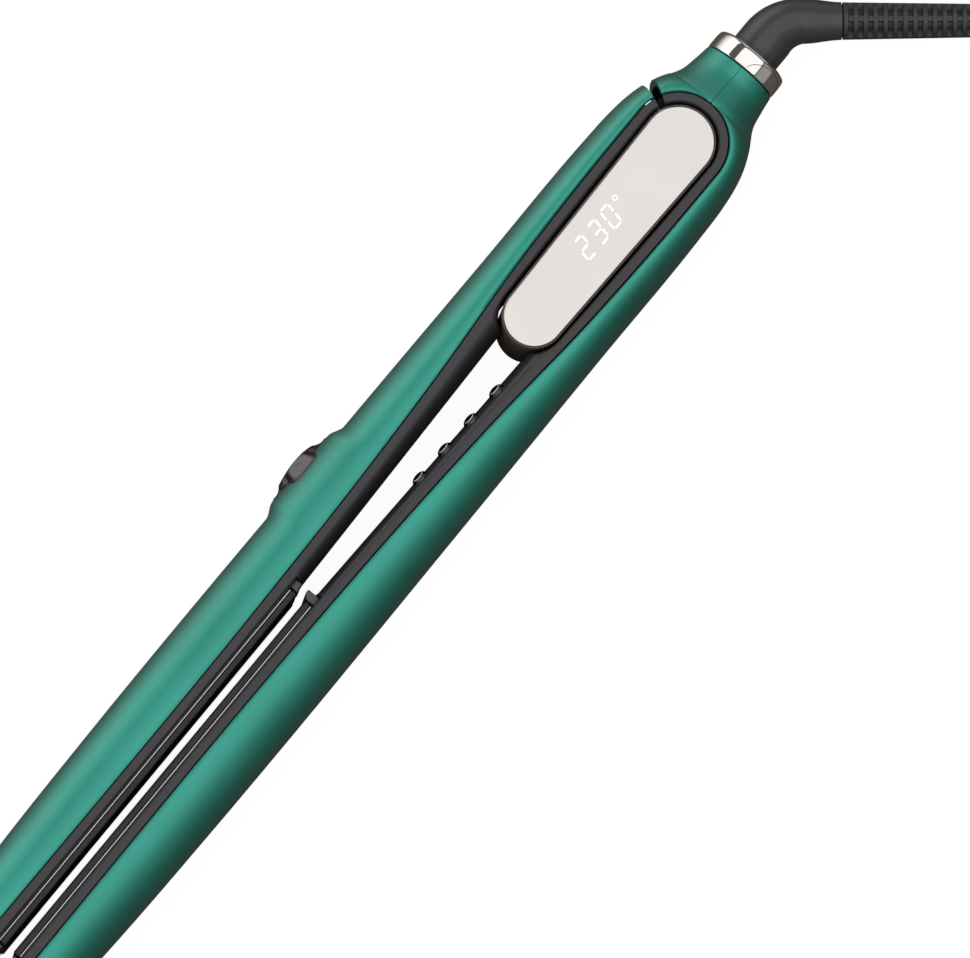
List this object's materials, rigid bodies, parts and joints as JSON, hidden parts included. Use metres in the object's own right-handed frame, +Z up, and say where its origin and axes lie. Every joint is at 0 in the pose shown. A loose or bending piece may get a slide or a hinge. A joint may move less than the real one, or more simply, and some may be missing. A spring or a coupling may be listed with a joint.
{
  "type": "hair straightening iron",
  "caption": "Slim two-armed heated hair iron with facing plates on a hinge, mirrored display, side buttons, locking collar and swivel cord.",
  "frame": {"origin": "on the surface the iron lies on, under the arm hinge's axis", "axes": "+X from the hinge to the plates' tip, +Y towards the fixed lower arm, +Z up along the hinge's axis, out of the display"},
  "size_m": [0.4635, 0.0946, 0.029],
  "materials": {
    "green_satin": "satin metallic green lacquer",
    "black_inner": "fine matt black",
    "pod_metal": "brown-grey metallised",
    "display_mirror": "half mirror window",
    "plate_coating": "dark ceramic coating",
    "grey_block": "moulded grey heat-proof plastic",
    "gloss_black": "polished",
    "collar_chrome": "polished",
    "elbow_grey": "satin dark grey",
    "relief_rubber": "moulded ribs",
    "cord_sheath": "smooth sheath",
    "tie_strap": "woven hook-and-loop",
    "spring_steel": "drawn wire and turned steel",
    "clamp_aluminium": "extruded",
    "heater_ceramic": "fired plate",
    "tray_pps": "moulded",
    "hinge_nylon": "moulded nylon",
    "circuit_board": "green solder mask",
    "contact_brass": "bare"
  },
  "bodies": {
    "lower_arm": {"lower_outer_shell": "green_satin", "tail_cap": "green_satin", "lower_inner_shell": "black_inner", "hinge_pod": "pod_metal", "pod_base_cover": "black_inner", "pod_screw_1": "spring_steel", "pod_screw_2": "spring_steel", "display_lens": "display_mirror", "display_board": "circuit_board", "display_module": "tray_pps", "hinge_pin": "spring_steel", "hinge_clip": "spring_steel", "hinge_washer_low": "hinge_nylon", "hinge_washer_high": "hinge_nylon", "opening_spring": "spring_steel", "lower_plate_tray": "tray_pps", "lower_float_spring_root": "spring_steel", "lower_float_spring_tip": "spring_steel", "button_board": "circuit_board", "control_board": "circuit_board", "filter_capacitor": "gloss_black", "swivel_socket": "hinge_nylon", "brush_block": "contact_brass"},
    "lower_plate_unit": {"lower_plate": "plate_coating", "lower_heater": "heater_ceramic", "lower_heater_clamp": "clamp_aluminium", "lower_end_block_root": "grey_block", "lower_end_block_tip": "grey_block"},
    "upper_arm": {"upper_outer_shell": "green_satin", "upper_inner_shell": "black_inner", "hinge_arm": "hinge_nylon", "hinge_arm_screw_1": "spring_steel", "hinge_arm_screw_2": "spring_steel", "upper_plate_tray": "tray_pps", "upper_float_spring_root": "spring_steel", "upper_float_spring_tip": "spring_steel", "power_bezel": "gloss_black", "power_switch_board": "circuit_board"},
    "upper_plate_unit": {"upper_plate": "plate_coating", "upper_heater": "heater_ceramic", "upper_heater_clamp": "clamp_aluminium", "upper_end_block_root": "grey_block", "upper_end_block_tip": "grey_block"},
    "power_key": {"power_button": "gloss_black"},
    "key_1": {"button_1": "gloss_black"},
    "key_2": {"button_2": "gloss_black"},
    "key_3": {"button_3": "gloss_black"},
    "key_4": {"button_4": "gloss_black"},
    "collar": {"lock_collar": "collar_chrome"},
    "cord_lead": {"cord_elbow": "elbow_grey", "strain_relief": "relief_rubber", "cord": "cord_sheath", "cord_coil": "cord_sheath", "cord_end": "cord_sheath", "coil_tie": "tie_strap", "plug_body": "relief_rubber", "plug_pin_1": "contact_brass", "plug_pin_2": "contact_brass"}
  },
  "joints": [
    {"name": "arm_hinge", "type": "hinge", "parent": "lower_arm", "child": "upper_arm", "pos_m": [0, 0, 0.0145], "axis": [0, 0, -1], "range_deg": [-0.4, 9], "deforming": ["opening_spring"]},
    {"name": "lower_plate_float", "type": "slide", "parent": "lower_arm", "child": "lower_plate_unit", "axis": [0, 1, 0], "range_m": [0, 0.0008], "stiffness_N_per_m": 2000, "springref_m": -0.001, "deforming": ["lower_float_spring_root", "lower_float_spring_tip"]},
    {"name": "upper_plate_float", "type": "slide", "parent": "upper_arm", "child": "upper_plate_unit", "axis": [0, -1, 0], "range_m": [0, 0.0008], "stiffness_N_per_m": 2000, "springref_m": -0.001, "deforming": ["upper_float_spring_root", "upper_float_spring_tip"]},
    {"name": "power_press", "type": "slide", "parent": "upper_arm", "child": "power_key", "axis": [0, 1, 0], "range_m": [0, 0.001], "stiffness_N_per_m": 800, "springref_m": -0.0005},
    {"name": "key_1_press", "type": "slide", "parent": "lower_arm", "child": "key_1", "axis": [0, 0.9397, -0.342], "range_m": [0, 0.0005], "stiffness_N_per_m": 1500, "springref_m": -0.0003},
    {"name": "key_2_press", "type": "slide", "parent": "lower_arm", "child": "key_2", "axis": [0, 0.9397, -0.342], "range_m": [0, 0.0005], "stiffness_N_per_m": 1500, "springref_m": -0.0003},
    {"name": "key_3_press", "type": "slide", "parent": "lower_arm", "child": "key_3", "axis": [0, 0.9397, -0.342], "range_m": [0, 0.0005], "stiffness_N_per_m": 1500, "springref_m": -0.0003},
    {"name": "key_4_press", "type": "slide", "parent": "lower_arm", "child": "key_4", "axis": [0, 0.9397, -0.342], "range_m": [0, 0.0005], "stiffness_N_per_m": 1500, "springref_m": -0.0003},
    {"name": "collar_slide", "type": "slide", "parent": "lower_arm", "child": "collar", "axis": [-1, 0, 0], "range_m": [0, 0.0025]},
    {"name": "cord_swivel", "type": "hinge", "parent": "lower_arm", "child": "cord_lead", "pos_m": [-0.022, 0, 0.0145], "axis": [1, 0, 0], "continuous": true}
  ]
}
